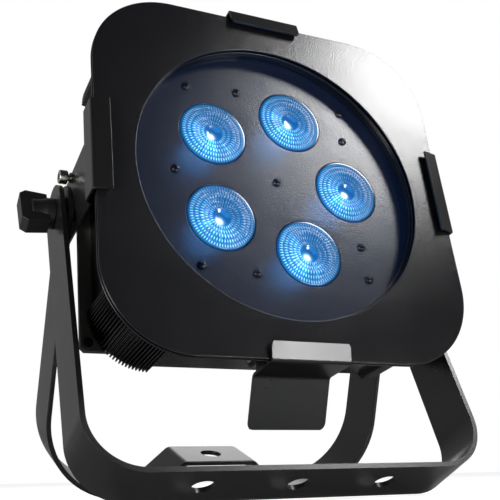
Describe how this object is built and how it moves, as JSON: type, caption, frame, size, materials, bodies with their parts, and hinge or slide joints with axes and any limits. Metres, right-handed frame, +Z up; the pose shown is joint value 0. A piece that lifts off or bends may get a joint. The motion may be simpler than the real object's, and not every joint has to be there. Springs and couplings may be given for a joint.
{
  "type": "par can light",
  "caption": "Flat stage wash light with recessed round lenses, a slide-in colour frame in sheet-metal clips, and a hinged double yoke that opens into a floor stand.",
  "frame": {"origin": "centre of the bounding box on the floor plane", "axes": "+X to the right seen from the front, +Y from the lit face to the back, +Z up"},
  "size_m": [0.233, 0.1386, 0.2496],
  "materials": {
    "black_coat": "satin black powder coat",
    "grey_coat": "charcoal satin powder coat",
    "nickel": "bright nickel plate",
    "black_plastic": "fine moulded texture",
    "lens": "clear moulded rings, lit blue",
    "screw": "black zinc",
    "aluminium": "bare",
    "board": "solder mask",
    "window": "dark red tint"
  },
  "bodies": {
    "head": {"gel_frame": "black_coat", "clip_top": "grey_coat", "side_bracket_left": "grey_coat", "side_bracket_right": "grey_coat", "latch_pin": "nickel", "latch_mount": "grey_coat", "latch_spring": "nickel", "front_bezel": "black_coat", "led_panel": "black_coat", "housing": "black_coat", "lens_1": "lens", "lens_2": "lens", "lens_3": "lens", "lens_4": "lens", "lens_5": "lens", "lens_holder": "black_plastic", "led_board": "aluminium", "heat_sink": "aluminium", "panel_screw_1": "screw", "panel_screw_2": "screw", "panel_screw_3": "screw", "panel_screw_4": "screw", "panel_screw_5": "screw", "panel_screw_6": "screw", "panel_screw_7": "screw", "panel_screw_8": "screw", "panel_screw_9": "screw", "panel_screw_10": "screw", "mid_plate": "grey_coat", "rear_box": "grey_coat", "box_screw_1": "screw", "box_screw_2": "screw", "box_screw_3": "screw", "box_screw_4": "screw", "power_supply": "board", "control_board": "board", "display_window": "window", "power_inlet": "black_plastic", "power_outlet": "black_plastic", "dmx_in_socket": "black_plastic", "dmx_out_socket": "black_plastic", "pivot_nut_left": "nickel", "pivot_nut_right": "nickel", "yoke_washer_left": "black_plastic", "yoke_washer_right": "black_plastic", "side_bolt_left": "nickel", "side_bolt_right": "nickel"},
    "front_yoke": {"front_yoke": "grey_coat"},
    "rear_yoke": {"rear_yoke": "grey_coat"},
    "knob_left": {"knob_left": "black_plastic", "stud_left": "nickel"},
    "knob_right": {"knob_right": "black_plastic", "stud_right": "nickel"},
    "latch": {"latch_clip": "grey_coat"},
    "fuse_cap": {"fuse_cap": "black_plastic"},
    "menu_button_1": {"menu_button_1": "black_plastic"},
    "menu_button_2": {"menu_button_2": "black_plastic"},
    "menu_button_3": {"menu_button_3": "black_plastic"},
    "menu_button_4": {"menu_button_4": "black_plastic"}
  },
  "joints": [
    {"name": "front_yoke_hinge", "type": "hinge", "parent": "head", "child": "front_yoke", "pos_m": [0, 0.01191, 0.13948], "axis": [1, 0, 0], "range_deg": [-68, 25]},
    {"name": "rear_yoke_hinge", "type": "hinge", "parent": "head", "child": "rear_yoke", "pos_m": [0, 0.01191, 0.13948], "axis": [1, 0, 0], "range_deg": [-25, 90]},
    {"name": "knob_left_turn", "type": "hinge", "parent": "head", "child": "knob_left", "pos_m": [0, 0.01191, 0.13948], "axis": [1, 0, 0], "continuous": true},
    {"name": "knob_right_turn", "type": "hinge", "parent": "head", "child": "knob_right", "pos_m": [0, 0.01191, 0.13948], "axis": [1, 0, 0], "continuous": true},
    {"name": "latch_hinge", "type": "hinge", "parent": "head", "child": "latch", "pos_m": [0, -0.05531, 0.06118], "axis": [1, 0, 0], "range_deg": [0, 30], "stiffness_Nm_per_rad": 0.2, "springref_deg": -17.19},
    {"name": "fuse_cap_turn", "type": "hinge", "parent": "head", "child": "fuse_cap", "pos_m": [-0.055, 0.03425, 0.11868], "axis": [0, 0.9804, -0.1968], "range_deg": [0, 90]},
    {"name": "menu_button_1_press", "type": "slide", "parent": "head", "child": "menu_button_1", "axis": [0, -0.9804, 0.1968], "range_m": [0, 0.0009], "stiffness_N_per_m": 500, "springref_m": -0.0005},
    {"name": "menu_button_2_press", "type": "slide", "parent": "head", "child": "menu_button_2", "axis": [0, -0.9804, 0.1968], "range_m": [0, 0.0009], "stiffness_N_per_m": 500, "springref_m": -0.0005},
    {"name": "menu_button_3_press", "type": "slide", "parent": "head", "child": "menu_button_3", "axis": [0, -0.9804, 0.1968], "range_m": [0, 0.0009], "stiffness_N_per_m": 500, "springref_m": -0.0005},
    {"name": "menu_button_4_press", "type": "slide", "parent": "head", "child": "menu_button_4", "axis": [0, -0.9804, 0.1968], "range_m": [0, 0.0009], "stiffness_N_per_m": 500, "springref_m": -0.0005}
  ]
}
